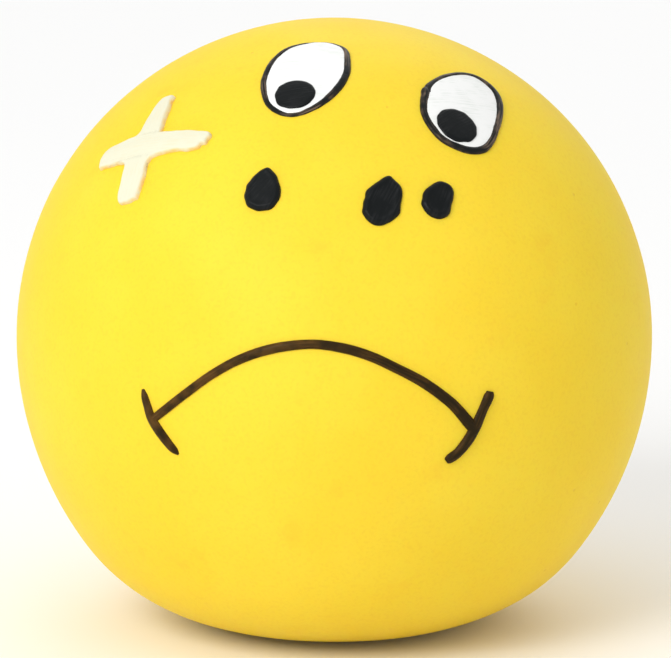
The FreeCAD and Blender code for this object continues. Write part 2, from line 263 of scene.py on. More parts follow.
def turning_tree():
    """Turns a half section of points once round the Z axis, and dents what is marked as outside."""
    tree, given, out = new_geometry_tree("Turned Piece", {
        "Points": "Int", "Steps": "Int", "Dent Depth": "Float", "Dent Size": "Float", "Middle": "Vector",
        "Seed": "Float", "Material": "Material"})
    sheet = put(tree, "GeometryNodeMeshGrid", {
        "Size X": 1.0, "Size Y": 1.0, "Vertices X": maths(tree, "ADD", given.outputs["Steps"], 1.0),
        "Vertices Y": given.outputs["Points"]})
    index = tree.nodes.new("GeometryNodeInputIndex").outputs[0]
    column = maths(tree, "FLOOR", maths(tree, "DIVIDE", index, given.outputs["Points"]))
    row = maths(tree, "MODULO", index, given.outputs["Points"])
    section = given.outputs["Geometry"]
    place = tree.nodes.new("GeometryNodeInputPosition").outputs[0]
    point = put(tree, "GeometryNodeSampleIndex", {"Geometry": section, "Index": row},
                data_type="FLOAT_VECTOR", domain="POINT")
    tree.links.new(place, point.inputs["Value"])
    outside = put(tree, "GeometryNodeSampleIndex", {
        "Geometry": section, "Index": row, "Value": named(tree, "outside")},
        data_type="FLOAT", domain="POINT")
    share = maths(tree, "DIVIDE", column, given.outputs["Steps"])
    angle = maths(tree, "MULTIPLY", share, 2 * math.pi)
    turned = put(tree, "ShaderNodeVectorRotate", {
        "Vector": point.outputs[0], "Axis": (0.0, 0.0, 1.0), "Angle": angle},
        rotation_type="AXIS_ANGLE").outputs[0]
    size = maths(tree, "DIVIDE", 1.0, given.outputs["Dent Size"])
    dents = put(tree, "ShaderNodeTexNoise", {
        "Vector": turned, "W": given.outputs["Seed"], "Scale": size, "Detail": 2.0, "Roughness": 0.45},
        noise_dimensions="4D")
    centred = maths(tree, "SUBTRACT", dents.outputs[0], 0.5)
    depth = maths(tree, "MULTIPLY", centred, given.outputs["Dent Depth"])
    lift = maths(tree, "MULTIPLY", depth, outside.outputs[0])
    away = vector_maths(tree, "SUBTRACT", turned, given.outputs["Middle"])
    way = vector_maths(tree, "NORMALIZE", away)
    moved = vector_maths(tree, "ADD", turned, scaled(tree, way, lift))
    placed = put(tree, "GeometryNodeSetPosition", {"Geometry": sheet.outputs[0], "Position": moved})
    closed = put(tree, "GeometryNodeMergeByDistance", {
        "Geometry": placed.outputs[0], "Distance": 0.001 * MM})
    return finish_tree(tree, given, out, closed.outputs[0])


def turns_left(loop):
    """Whether a closed loop of (x, y) points runs anticlockwise, as its faces need to point outwards."""
    x, y = np.array(loop)[:, :2].T
    return np.dot(x, np.roll(y, -1)) - np.dot(y, np.roll(x, -1)) > 0


def turned_piece(name, section, outside, material, steps=256, dent_depth=0.0, dent_size=0.012, seed=1.0):
    """A closed piece turned from a half section, a list of (radius, height) points.

    outside is 1 for each point whose surface may be dented, and 0 for the others.
    """
    if not turns_left(section):
        section, outside = section[::-1], outside[::-1]
    points = [(radius, 0, height) for radius, height in section]
    source = points_object(name + "_section", points, outside=outside)
    values = {"Points": len(points), "Steps": steps, "Dent Depth": dent_depth, "Dent Size": dent_size,
              "Middle": MIDDLE, "Seed": seed, "Material": material}
    return grown(name, source, turning_tree(), values)


def stroke_tree():
    """Sweeps a domed brush line along a curve on the skin, as wide as the curve's radius says."""
    tree, given, out = new_geometry_tree("Brush Line", {
        "Middle": "Vector", "Dome": "Float", "Sink": "Float", "Wobble": "Float", "Wobble Size": "Float",
        "Seed": "Float", "Material": "Material"})
    place = tree.nodes.new("GeometryNodeInputPosition").outputs[0]
    away = vector_maths(tree, "SUBTRACT", place, given.outputs["Middle"])
    outward = vector_maths(tree, "NORMALIZE", away)
    upright = put(tree, "GeometryNodeSetCurveNormal", {
        "Curve": given.outputs["Geometry"], "Normal": outward}, mode="FREE")
    length = tree.nodes.new("GeometryNodeSplineParameter").outputs["Length"]
    path = stored(tree, upright.outputs[0], "along", length)
    ring = put(tree, "GeometryNodeCurvePrimitiveCircle", {"Resolution": 20, "Radius": 1.0})
    spot = put(tree, "ShaderNodeSeparateXYZ", {0: place})
    dome = maths(tree, "MULTIPLY", spot.outputs[0], given.outputs["Dome"])
    height = maths(tree, "MAXIMUM", dome, maths(tree, "MULTIPLY", given.outputs["Sink"], -1.0))
    flat = put(tree, "ShaderNodeCombineXYZ", {0: height, 1: spot.outputs[1]})
    section = put(tree, "GeometryNodeSetPosition", {
        "Geometry": ring.outputs["Curve"], "Position": flat.outputs[0]})
    marked = stored(tree, section.outputs[0], "across", spot.outputs[1])
    width = tree.nodes.new("GeometryNodeInputRadius").outputs[0]
    swept = put(tree, "GeometryNodeCurveToMesh", {
        "Curve": path, "Profile Curve": marked, "Scale": width, "Fill Caps": True})
    across = named(tree, "across")
    half_width = 0.45 * MM
    brush = put(tree, "ShaderNodeCombineXYZ", {
        0: named(tree, "along"), 1: maths(tree, "MULTIPLY", across, half_width)})
    brushed = stored(tree, swept.outputs[0], "brush", brush.outputs[0], kind="FLOAT_VECTOR")
    thinned = stored(tree, brushed, "thin", maths(tree, "POWER", maths(tree, "ABSOLUTE", across), 5.0))
    scale = maths(tree, "DIVIDE", 1.0, given.outputs["Wobble Size"])
    shake = put(tree, "ShaderNodeTexNoise", {
        "Vector": place, "W": given.outputs["Seed"], "Scale": scale, "Detail": 3.0}, noise_dimensions="4D")
    centred = vector_maths(tree, "SUBTRACT", shake.outputs["Color"], (0.5, 0.5, 0.5))
    offset = scaled(tree, centred, given.outputs["Wobble"])
    shaken = put(tree, "GeometryNodeSetPosition", {"Geometry": thinned, "Offset": offset})
    return finish_tree(tree, given, out, shaken.outputs[0])


def fibre_tree():
    """Covers a wad with short curled fibres that lie about on its surface."""
    tree, given, out = new_geometry_tree("Curled Fibres", {
        "Curls Per Square Metre": "Float", "Curl Size": "Float", "Fibre Radius": "Float", "Seed": "Int",
        "Material": "Material"})
    wad = given.outputs["Geometry"]
    spots = put(tree, "GeometryNodeDistributePointsOnFaces", {
        "Mesh": wad, "Density": given.outputs["Curls Per Square Metre"], "Seed": given.outputs["Seed"]})
    size = given.outputs["Curl Size"]
    curl = put(tree, "GeometryNodeCurveSpiral", {
        "Resolution": 9, "Rotations": 1.1, "Start Radius": maths(tree, "MULTIPLY", size, 0.55),
        "End Radius": size, "Height": maths(tree, "MULTIPLY", size, 0.35)})
    ring = put(tree, "GeometryNodeCurvePrimitiveCircle", {
        "Resolution": 3, "Radius": given.outputs["Fibre Radius"]})
    fibre = put(tree, "GeometryNodeCurveToMesh", {
        "Curve": curl.outputs[0], "Profile Curve": ring.outputs["Curve"], "Fill Caps": True})
    spin = put(tree, "FunctionNodeRandomValue", {
        0: (-0.5, -0.5, -math.pi), 1: (0.5, 0.5, math.pi), "Seed": 3}, data_type="FLOAT_VECTOR")
    turn = put(tree, "FunctionNodeEulerToRotation", {0: spin.outputs[0]})
    tilt = put(tree, "FunctionNodeRotateRotation", {0: spots.outputs["Rotation"], 1: turn.outputs[0]},
               rotation_space="LOCAL")
    scale = put(tree, "FunctionNodeRandomValue", {2: 0.6, 3: 1.3, "Seed": 5}, data_type="FLOAT")
    curls = put(tree, "GeometryNodeInstanceOnPoints", {
        "Points": spots.outputs["Points"], "Instance": fibre.outputs[0], "Rotation": tilt.outputs[0],
        "Scale": scale.outputs[1]})
    both = put(tree, "GeometryNodeJoinGeometry", {"Geometry": curls.outputs[0]})
    tree.links.new(wad, both.inputs["Geometry"])
    return finish_tree(tree, given, out, both.outputs[0])


# ---- materials ----

def new_material(name):
    """A node material, as (material, its tree, its principled shader)."""
    material = bpy.data.materials.new(name)
    material.use_nodes = True
    tree = material.node_tree
    shader = next(node for node in tree.nodes if node.type == "BSDF_PRINCIPLED")
    return material, tree, shader


def object_noise(tree, size, detail=3.0, roughness=0.5, stretch=None, source=None):
    """Noise whose lumps are about size metres across, on object coordinates or a vector attribute."""
    if source is None:
        where = tree.nodes.new("ShaderNodeTexCoord").outputs["Object"]
    else:
        where = put(tree, "ShaderNodeAttribute", attribute_name=source).outputs["Vector"]
    if stretch is not None:
        where = put(tree, "ShaderNodeMapping", {"Vector": where, "Scale": stretch}).outputs[0]
    return put(tree, "ShaderNodeTexNoise", {
        "Vector": where, "Scale": 1 / size, "Detail": detail, "Roughness": roughness}).outputs[0]


def ramp(tree, factor, low, high):
    """A number that goes from 0 to 1 as factor goes from low to high."""
    return put(tree, "ShaderNodeMapRange", {"Value": factor, "From Min": low, "From Max": high},
               interpolation_type="SMOOTHSTEP").outputs[0]


def between(tree, factor, colour_a, colour_b):
    """A colour between two."""
    mix = put(tree, "ShaderNodeMix", data_type="RGBA")
    for socket, value in zip((mix.inputs[0], mix.inputs[6], mix.inputs[7]), (factor, colour_a, colour_b)):
        if isinstance(value, bpy.types.NodeSocket):
            tree.links.new(value, socket)
        elif isinstance(value, (int, float)):
            socket.default_value = value
        else:
            socket.default_value = (*value[:3], 1.0)
    return mix.outputs[2]


def bumps(tree, shader, layers):
    """Stack bump layers, each (height, depth in metres), into the shader's normal."""
    normal = None
    for height, depth in layers:
        inputs = {"Height": height, "Distance": depth, "Strength": 1.0}
        if normal is not None:
            inputs["Normal"] = normal
        normal = put(tree, "ShaderNodeBump", inputs).outputs[0]
    tree.links.new(normal, shader.inputs["Normal"])


def pores(tree, spacing, share):
    """1 in the middle of a pore and 0 round it, in a share of the cells of a pattern."""
    where = tree.nodes.new("ShaderNodeTexCoord").outputs["Object"]
    cells = put(tree, "ShaderNodeTexVoronoi", {"Vector": where, "Scale": 1 / spacing})
    chance = put(tree, "ShaderNodeSeparateColor", {0: cells.outputs["Color"]}).outputs[0]
    chosen = maths(tree, "GREATER_THAN", chance, 1 - share)
    hollow = maths(tree, "SUBTRACT", 1.0, ramp(tree, cells.outputs["Distance"], 0.03, 0.09))
    return maths(tree, "MULTIPLY", hollow, chosen)


def latex_material(look):
    """Moulded yellow rubber: a satin skin with a faint mottle, fine pores and a soft warm depth."""
    material, tree, shader = new_material("moulded_latex")
    mottle = ramp(tree, object_noise(tree, 14 * MM), 0.3, 0.7)
    yellow = between(tree, mottle, look.bright_colour, look.deep_colour)
    grain = object_noise(tree, 0.35 * MM, detail=4.0)
    grainy = maths(tree, "MULTIPLY", ramp(tree, grain, 0.46, 0.7), 0.12)
    yellow = between(tree, grainy, yellow, look.pore_colour)
    pore = pores(tree, spacing=2.6 * MM, share=0.1)
    speckled = between(tree, maths(tree, "MULTIPLY", pore, 0.35), yellow, look.pore_colour)
    handling = maths(tree, "MULTIPLY", ramp(tree, object_noise(tree, 4.5 * MM), 0.62, 0.78), 0.3)
    tree.links.new(between(tree, handling, speckled, look.handled_colour), shader.inputs["Base Color"])
    spread = 0.12
    rough = maths(tree, "MULTIPLY_ADD", object_noise(tree, 5 * MM), spread, look.roughness - spread / 2)
    tree.links.new(rough, shader.inputs["Roughness"])
    shader.inputs["Specular IOR Level"].default_value = 0.1
    shader.inputs["Subsurface Weight"].default_value = 0.25
    shader.inputs["Subsurface Radius"].default_value = (1.0, 0.42, 0.08)
    shader.inputs["Subsurface Scale"].default_value = 3 * MM
    unevenness = object_noise(tree, 4 * MM)
    bumps(tree, shader, [(unevenness, 0.05 * MM), (grain, 0.012 * MM), (pore, -0.03 * MM)])
    return material


def enamel_material(name, colour, thin_and_painted_light_colour, roughness, gloss, edge_share, streak_share, streak_depth,
                    wear=0.0):
    """Brushed paint: streaks along the brush's way, and a thinner tone at its edge.

    edge_share and streak_share are how much of the thinner tone shows at the edge and in the streaks, and
    wear is how much more of it shows on the side towards -X than on the other. For the cream and the eye
    lines
    the thinner tone is also painted light: painted shade along the cross's walls, painted highlight on the
    lines.
    """
    material, tree, shader = new_material(name)
    thin = put(tree, "ShaderNodeAttribute", attribute_name="thin").outputs["Fac"]
    broken = maths(tree, "MULTIPLY", thin, ramp(tree, object_noise(tree, 0.8 * MM), 0.25, 0.7))
    edge = maths(tree, "MULTIPLY", broken, edge_share)
    streak = object_noise(tree, 1 * MM, detail=4.0, stretch=(0.35, 5.0, 1.0), source="brush")
    patchy = ramp(tree, object_noise(tree, 2.2 * MM), 0.42, 0.6)
    streaky = maths(tree, "MULTIPLY", ramp(tree, streak, 0.42, 0.62), patchy)
    streaked = maths(tree, "MULTIPLY", streaky, streak_share)
    where = tree.nodes.new("ShaderNodeTexCoord").outputs["Object"]
    sideways = put(tree, "ShaderNodeSeparateXYZ", {0: where}).outputs[0]
    sound_side, worn_side = 5 * MM, -7 * MM
    side = maths(tree, "MULTIPLY", ramp(tree, sideways, sound_side, worn_side), wear)
    rubbed = maths(tree, "MULTIPLY", side, ramp(tree, object_noise(tree, 1.3 * MM), 0.3, 0.65))
    # The thinner tone's share: thin paint and wear, and for the cream and eye lines also painted shade and
    # painted highlight.
    worn_and_painted_light = maths(tree, "ADD", maths(tree, "ADD", edge, streaked), rubbed)
    tree.links.new(between(tree, worn_and_painted_light, colour, thin_and_painted_light_colour), shader.inputs["Base Color"])
    spread = 0.2
    rough = maths(tree, "MULTIPLY_ADD", object_noise(tree, 0.9 * MM), spread, roughness - spread / 2)
    tree.links.new(rough, shader.inputs["Roughness"])
    shader.inputs["Specular IOR Level"].default_value = gloss
    bumps(tree, shader, [(streak, streak_depth), (object_noise(tree, 0.5 * MM), 0.012 * MM)])
    return material


def plug_material(look):
    """The plug's duller rubber, with moulding grain and rubbed dirt from the desk."""
    material, tree, shader = new_material("dull_rubber")
    dirt = ramp(tree, object_noise(tree, 2.5 * MM, detail=5.0), 0.45, 0.75)
    colour = between(tree, maths(tree, "MULTIPLY", dirt, 0.5), look.plug_colour, look.dirt_colour)
    tree.links.new(colour, shader.inputs["Base Color"])
    tree.links.new(maths(tree, "MULTIPLY_ADD", dirt, 0.15, 0.55), shader.inputs["Roughness"])
    bumps(tree, shader, [(object_noise(tree, 0.3 * MM, detail=4.0), 0.02 * MM)])
    return material


def fibre_material(look):
    """White crimped fibre, greyer in random clumps: painted shade for the hollows between the fibres."""
    material, tree, shader = new_material("polyester_fibre")
    clump = ramp(tree, object_noise(tree, 3 * MM, detail=4.0), 0.3, 0.7)
    tree.links.new(between(tree, clump, look.fibre_colour, look.fibre_shade_colour), shader.inputs["Base Color"])
    shader.inputs["Roughness"].default_value = 0.8
    shader.inputs["Sheen Weight"].default_value = 0.4
    strands = object_noise(tree, 0.4 * MM, detail=4.0, stretch=(1.0, 4.0, 1.0))
    bumps(tree, shader, [(strands, 0.1 * MM)])
    return material


# ---- drawing on the skin ----

def smooth_curve(points, steps, closed):
    """A smooth curve through drawn points, rows of numbers that are all smoothed alike.

    Each span runs from point b to point c, with a and d their neighbours. A point drawn twice is a corner.
    """
    rows = np.array(points, float)
    count = len(rows)
    spans = count if closed else count - 1
    made = []
    for i in range(spans):
        if closed:
            a, b, c, d = (rows[(i + k) % count] for k in (-1, 0, 1, 2))
        else:
            a, b, c, d = (rows[min(max(i + k, 0), count - 1)] for k in (-1, 0, 1, 2))
        if np.array_equal(b, c):
            continue
        for step in range(steps):
            t = step / steps
            made.append(0.5 * (2 * b + (c - a) * t + (2 * a - 5 * b + 4 * c - d) * t ** 2
                               + (3 * b - a - 3 * c + d) * t ** 3))
    if not closed:
        made.append(rows[-1])
    return np.array(made)


def oval(centre, radii, count=12):
    """Drawn points round an upright oval."""
    turns = [2 * math.pi * i / count for i in range(count)]
    return [(centre[0] + radii[0] * math.cos(t), centre[1] + radii[1] * math.sin(t)) for t in turns]


def ragged(loop, depth, size, seed):
    """Shake a closed outline, as an unsteady brush does."""
    elsewhere = Vector((7, 3, 5))
    shaken = []
    for x, y in loop:
        where = Vector((x / size, y / size, seed))
        shaken.append((x + depth * noise.noise(where), y + depth * noise.noise(where + elsewhere)))
    return np.array(shaken)


def distance_inside(points, loop):
    """How far each point is from an outline."""
    steps = np.roll(loop, -1, axis=0) - loop
    found = np.full(len(points), np.inf)
    for start, step in zip(loop, steps):
        share = np.clip(((points - start) @ step) / max(step @ step, TINY), 0, 1)
        found = np.minimum(found, np.linalg.norm(points - start - share[:, None] * step, axis=1))
    return found


def rounded_edge(distance, width):
    """0 at an edge, 1 from width inwards, with a quarter-round between."""
    run = np.clip(distance / width, 0, 1)
    return np.sqrt(1 - (1 - run) ** 2)


def patch_faces(count, rings):
    """The faces of a closed patch: a fan and rings on top, the same underneath, and a wall between.

    Each layer's points are its middle, and then count points on every ring.
    """
    layer = 1 + rings * count
    rim = 1 + (rings - 1) * count
    pairs = [(i, (i + 1) % count) for i in range(count)]
    faces = []
    for level, way in ((0, 1), (layer, -1)):
        for i, j in pairs:
            faces.append((level, level + 1 + i, level + 1 + j)[::way])
            for ring in range(rings - 1):
                a = level + 1 + ring * count
                faces.append((a + i, a + count + i, a + count + j, a + j)[::way])
    faces += [(rim + i, layer + rim + i, layer + rim + j, rim + j) for i, j in pairs]
    return faces


def paint_patch(name, node, outline, surface, material, settings, steps=12, rings=30, brush_angle=0.0):
    """A raised patch of paint on the skin.

    surface gives its height from (distance in from the edge, x, y) in metres. brush_angle is the brush's
    way across the patch: degrees, or a function of (x, y) that gives radians.
    """
    crowding = 1.7
    shake_size = 0.8 * MM
    thin_edge = 0.15 * MM
    loop = smooth_curve(outline if turns_left(outline) else outline[::-1], steps, True) * MM
    loop = ragged(loop, settings.raggedness * MM, shake_size, len(name))
    middle = loop.mean(axis=0)
    shares = [1 - (1 - i / rings) ** crowding for i in range(1, rings + 1)]
    flat = np.vstack([middle] + [middle + share * (loop - middle) for share in shares])
    distance = distance_inside(flat, loop)
    points, normals = onto_skin(flat, node)
    top = points + normals * surface(distance, flat[:, 0], flat[:, 1])[:, None]
    base = points - normals * settings.sink * MM
    mesh = bpy.data.meshes.new(name)
    mesh.from_pydata(np.vstack([top, base]).tolist(), [], patch_faces(len(loop), rings))
    thin = 0.5 - 0.5 * np.clip(distance / thin_edge, 0, 1)
    all_thin = np.append(thin, np.ones(len(flat)))
    turn = brush_angle(flat[:, 0], flat[:, 1]) if callable(brush_angle) else math.radians(brush_angle)
    brush = np.zeros((len(flat), 3))
    brush[:, 0] = flat[:, 0] * np.cos(turn) + flat[:, 1] * np.sin(turn)
    brush[:, 1] = flat[:, 1] * np.cos(turn) - flat[:, 0] * np.sin(turn)
    both_brushed = np.tile(brush, (2, 1)).ravel()
    mesh.attributes.new("thin", "FLOAT", "POINT").data.foreach_set("value", all_thin)
    mesh.attributes.new("brush", "FLOAT_VECTOR", "POINT").data.foreach_set("vector", both_brushed)
    mesh.materials.append(material)
    return show(name, mesh)


def brush_line(name, node, drawn, closed, material, settings, steps=14, seed=1.0, wobble=0.05):
    """A raised brush line through drawn (x, y, width) points in millimetres around a CAD node."""
    rows = smooth_curve(drawn, steps, closed) * MM
    points, _ = onto_skin(rows[:, :2], node)
    curve = bpy.data.curves.new(name, "CURVE")
    curve.dimensions = "3D"
    spline = curve.splines.new("POLY")
    spline.points.add(len(points) - 1)
    spline.use_cyclic_u = closed
    for point, place, width in zip(spline.points, points, rows[:, 2]):
        point.co = (*place, 1)
        point.radius = width / 2
    source = bpy.data.objects.new(name + "_path", curve)
    bpy.context.scene.collection.objects.link(source)
    sink_share = 0.4
    wobble_size = 0.9 * MM
    values = {"Middle": MIDDLE, "Dome": settings.line_dome, "Sink": sink_share, "Wobble": wobble * MM,
              "Wobble Size": wobble_size, "Seed": seed, "Material": material}
    return grown(name, source, stroke_tree(), values)


def place(piece, node, slot):
    """Ride a finished piece on its node's body, and stand it for the node."""
    bodies = frame["record"]["behaviour"]["bodies"]
    body = next(name for name, nodes in bodies.items() if node in nodes)
    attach(piece, body)
    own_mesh(piece)
    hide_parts(node)
    return piece


# ---- settings ----

def colour_property(name, description, default):
    """A colour setting."""
    return FloatVectorProperty(name=name, description=description, default=default, size=3, min=0, max=1,
                               subtype="COLOR")


def millimetres(name, description, default):
    """A small size, given in millimetres."""
    return FloatProperty(name=name, description=f"{description}, in millimetres", default=default,
                         min=0, max=1)


def length_property(name, description, default):
    """A length in the scene's own unit."""
    return FloatProperty(name=name, description=description, default=default, unit="LENGTH", precision=5)


def power_property(name, description, default):
    """A light's power."""
    return FloatProperty(name=name, description=description, default=default, unit="POWER")


class SkinSettings(bpy.types.PropertyGroup):
    """The rubber skin and its plug."""

    bright_colour: colour_property("Bright", "Lighter tone of the rubber", (0.93, 0.66, 0.045))
    deep_colour: colour_property("Deep", "Deeper tone of the rubber", (0.92, 0.625, 0.036))
    pore_colour: colour_property("Pores", "Tone of the fine pores", (0.72, 0.36, 0.03))
    handled_colour: colour_property("Handled", "Tone of patches warmed by handling", (0.87, 0.50, 0.035))
    plug_colour: colour_property("Plug", "The plug's rubber", (0.82, 0.53, 0.06))
    dirt_colour: colour_property("Dirt", "Dirt rubbed into the plug", (0.42, 0.27, 0.08))
    roughness: FloatProperty(name="Roughness", description="How matte the skin is", default=0.52,
                             min=0.1, max=1)
    dimple_depth: millimetres("Dimples", "Unevenness of the moulded skin", 0.16)


class PaintSettings(bpy.types.PropertyGroup):
    """The brushed face."""

    black: colour_property("Black", "Full black enamel", (0.006, 0.0075, 0.008))
    grey_black: colour_property("Worn black", "Black enamel where it is thin", (0.017, 0.018, 0.019))
    # The eye line's thin colour: thin paint, and painted highlight, lighter grey-brown patches along the
    # line.
    thin_rim_and_highlight: colour_property("Worn rim", "An eye's line where the paint is thin", (0.16, 0.11, 0.075))
    brown_black: colour_property("Line", "Full brown-black of the mouth's lines", (0.022, 0.014, 0.005))
    brown: colour_property("Worn line", "The mouth's lines where the paint is thin", (0.13, 0.062, 0.014))
    white: colour_property("White", "Full white enamel", (0.865, 0.87, 0.855))
    grey: colour_property("Grey", "White enamel where it is thin", (0.72, 0.75, 0.71))
    cream: colour_property("Cream", "Full cream enamel", (0.74, 0.725, 0.56))
    # The cream's thin colour: thin paint with yellow under it, and painted shade, an orange tone along the
    # cross's edge and walls.
    thin_cream_and_edge_shade: colour_property("Straw", "Cream enamel where it is thin", (0.88, 0.52, 0.06))
    white_height: millimetres("Whites", "Height of the eye whites", 0.2)
    pupil_height: millimetres("Pupils", "Height of the pupils over the whites", 0.18)
    spot_height: millimetres("Spots", "Height of the spots", 0.4)
    cross_height: millimetres("Cross", "Height of the cross", 0.5)
    raggedness: millimetres("Raggedness", "Shake of the brush", 0.09)
    sink: millimetres("Sink", "How deep paint is set into the skin", 0.15)
    line_dome: FloatProperty(name="Lines", description="Height of a line over half its width", default=0.8)


class FibreSettings(bpy.types.PropertyGroup):
    """The filling."""

    fibre_colour: colour_property("Fibre", "Colour of the fibre", (0.90, 0.90, 0.87))
    # The greyer fibre tone is painted shade between the fibres, laid in random clumps.
    fibre_shade_colour: colour_property("Hollows", "Colour between the fibres", (0.72, 0.72, 0.70))
    curls: IntProperty(name="Curls", description="Curls on each wad", default=1300, min=0, max=2200)
    curl_size: length_property("Curl size", "Radius of a curl", 1.6 * MM)
    fibre_radius: length_property("Fibre radius", "Radius of a fibre", 0.07 * MM)
    inset: length_property("Inset", "How far the wad's body lies inside its space", 0.9 * MM)


class StageSettings(bpy.types.PropertyGroup):
    """Floor, light and camera."""

    floor_colour: colour_property("Floor", "Colour of the floor", (0.95, 0.95, 0.945))
    sky: FloatProperty(name="Sky", description="Strength of the even light from all round", default=0.75)
    key: power_property("Key", "Power of the large soft light at the front left", 2.6)
    side: power_property("Side", "Power of the low light at the left", 0.2)
    top: power_property("Top", "Power of the light overhead", 0.3)
    back: power_property("Back", "Power of the light behind, on the floor", 1.2)
    elevation: FloatProperty(name="Elevation", description="How far the camera looks down",
                             default=math.radians(12), subtype="ANGLE")
    distance: length_property("Distance", "From the camera to the ball's middle", 0.6453)


# ---- the pieces ----

def need_frame(*nodes):
    """Stop with an error if the frame lacks a node."""
    missing = [node for node in nodes if node not in frame["nodes"]]
    if missing:
        raise RuntimeError(f"the frame has no node {missing}")


class STRESSBALL_OT_skin(bpy.types.Operator):
    """Make the moulded rubber skin with its flat foot and the plug's seat"""

    bl_idname = "stressball.skin"
    bl_label = "Skin"

    def execute(self, context):
        need_frame("skin")
        look = context.scene.stressball_skin
        recess = PLUG_RADIUS + PLUG_CLEARANCE
        lip = 0.15 * MM
        seat = arc((recess + lip, FOOT_HEIGHT + lip), lip, -90, -180, 4)
        outer = half_section(0)
        outer[0] = (0, outer[0][1])
        floor_edge = [(radius, height) for radius, height in half_section(-WALL) if height > FLOOR]
        inner_foot = FOOT_HEIGHT + SHOULDER - FLOOR
        corner = FOOT_RADIUS + math.sqrt((SHOULDER - WALL) ** 2 - inner_foot ** 2)
        floor = [(recess, PLUG_HEAD), (PLUG_NECK, PLUG_HEAD), (PLUG_NECK, FLOOR), (corner, FLOOR)]
        section = outer + seat + floor + floor_edge[::-1]
        outside = [1.0] * (len(outer) - 1) + [0.0] * (len(section) - len(outer) + 1)
        section[-1] = (0, section[-1][1])
        skin = turned_piece("ball_skin", section, outside, latex_material(look),
                            dent_depth=look.dimple_depth * MM)
        place(skin, "skin", "skin_rubber")
        return {"FINISHED"}


class STRESSBALL_OT_plug(bpy.types.Operator):
    """Make the plug that closes the foot, with its vent and its moulded rings"""

    bl_idname = "stressball.plug"
    bl_label = "Plug"

    def execute(self, context):
        need_frame("filling_plug")
        look = context.scene.stressball_skin
        rim = 0.4 * MM
        groove = 0.25 * MM
        under = [(PLUG_VENT, 0.15 * MM), (PLUG_VENT + 0.15 * MM, 0)]
        for radius in (2.4 * MM, 4.6 * MM):
            under += arc((radius, 0), groove, 180, 0, 8)
        head = arc((PLUG_RADIUS - rim, rim), rim, -90, 0, 6)
        head += [(PLUG_RADIUS, PLUG_HEAD), (PLUG_NECK, PLUG_HEAD)]
        flange = [(PLUG_NECK, FLOOR), (PLUG_FLANGE, FLOOR)]
        flange += arc((PLUG_FLANGE - rim, PLUG_TOP - rim), rim, 0, 90, 6) + [(PLUG_VENT, PLUG_TOP)]
        section = under + head + flange
        section.append(section[0])
        plug = turned_piece("foot_plug", section, [0.0] * len(section), plug_material(look), steps=96)
        place(plug, "filling_plug", "plug_rubber")
        return {"FINISHED"}


class STRESSBALL_OT_wads(bpy.types.Operator):
    """Make the two wads of crimped fibre that fill the ball"""

    bl_idname = "stressball.wads"
    bl_label = "Fibre wads"

    def execute(self, context):
        need_frame("lower_fibre_wad", "upper_fibre_wad")
        look = context.scene.stressball_fibre
        material = fibre_material(look)
        for number, node in enumerate(("lower_fibre_wad", "upper_fibre_wad"), start=1):
            low, high = (corner.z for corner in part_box(node))
            low += look.inset
            high -= look.inset
            outline = half_section(-WALL - FILL_GAP - look.inset, steps=60)
            sides = [(radius, height) for radius, height in outline if low <= height <= high]
            section = [(0, high)] + sides + [(0, low)]
            if number == 1:
                room = PLUG_FLANGE + look.inset
                section[-1:] = [(room, low), (room, PLUG_TOP + look.inset), (0, PLUG_TOP + look.inset)]
            body = turned_piece(node + "_body", section, [1.0] * len(section), material, steps=120,
                                dent_depth=1.5 * MM, dent_size=6 * MM, seed=10.0 + number)
            area = sum(polygon.area for polygon in body.data.polygons)
            values = {"Curls Per Square Metre": look.curls / area, "Curl Size": look.curl_size,
                      "Fibre Radius": look.fibre_radius, "Seed": number, "Material": material}
            wad = grown(node.replace("_fibre", ""), body, fibre_tree(), values)
            place(wad, node, "fibre")
        return {"FINISHED"}


# Each outline and line below is drawn flat in millimetres, right and up across the skin, from the
# middle of its own CAD node. A line's third number is its width. The right eye's line ends over its own
# beginning, so its last points are left out of the white's outline.
LEFT_EYE = [(3.85, -0.3, 0.8), (3.65, 1.6, 0.8), (2.95, 4.2, 0.65), (1.6, 5.4, 0.38), (0, 5.55, 0.34),
            (-1.7, 4.8, 0.6), (-2.8, 3.7, 0.75), (-3.55, 1.8, 0.8), (-3.8, -0.3, 0.8),
            (-3.7, -2.4, 0.8), (-2.8, -5.0, 0.65), (-1.4, -6.3, 0.55), (0, -6.55, 0.52),
            (1.3, -5.9, 0.6), (2.55, -4.5, 0.75), (3.5, -2.45, 0.85)]
RIGHT_EYE = [(-3.0, 2.55, 0.7), (-2.4, 3.2, 0.8), (-1.4, 3.65, 0.7), (0.2, 4.1, 0.72), (2.4, 4.3, 0.7),
             (4.1, 3.9, 0.8), (4.95, 2.7, 0.95), (5.05, 1.2, 1.0), (4.3, -0.35, 1.0), (2.8, -2.1, 0.9),
             (1.35, -3.4, 0.85), (-0.1, -4.6, 0.8), (-1.8, -5.35, 0.85), (-3.6, -4.95, 0.85),
             (-5.2, -3.35, 0.8), (-5.5, -1.4, 0.8), (-5.15, 0.2, 0.8), (-4.3, 1.45, 0.8),
             (-3.6, 2.2, 0.9), (-3.1, 2.8, 0.9), (-2.7, 3.15, 0.6)]
LINE_OVERLAP = 2

